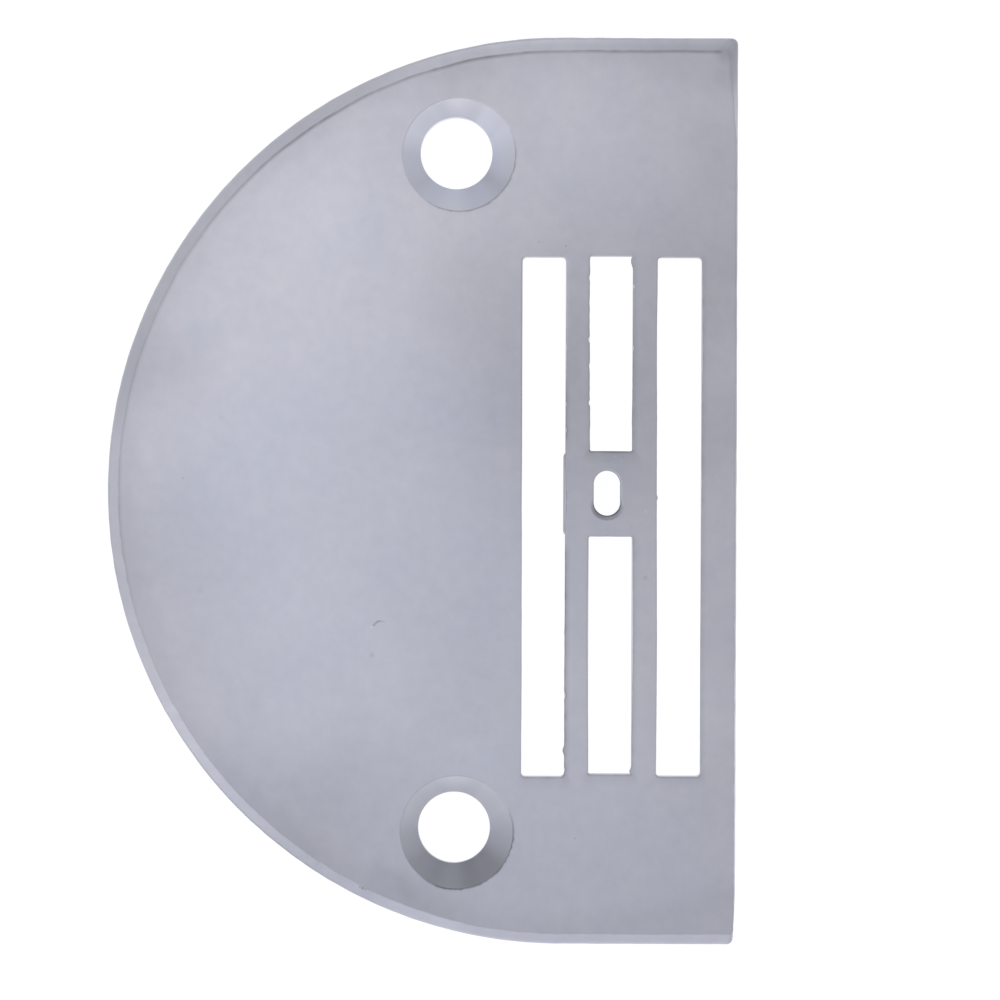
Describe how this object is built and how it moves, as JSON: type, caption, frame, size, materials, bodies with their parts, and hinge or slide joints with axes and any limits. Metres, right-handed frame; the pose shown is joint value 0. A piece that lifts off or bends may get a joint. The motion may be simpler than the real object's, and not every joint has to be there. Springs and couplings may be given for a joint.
{
  "type": "sewing machine needle plate",
  "caption": "Half-round steel needle plate with a bevelled rim, countersunk screw holes, feed-teeth windows and a rounded needle slot.",
  "frame": {"origin": "midway between the two screw holes, on the underside", "axes": "+X to the straight edge, +Y along the feed windows towards the end with the wider rim bevel, +Z out of the face that the cloth slides on"},
  "size_m": [0.0458, 0.066, 0.003],
  "materials": {
    "plate_steel": "satin ground and tumbled steel, cool grey"
  },
  "bodies": {
    "root": {"needle_plate": "plate_steel"}
  },
  "joints": []
}
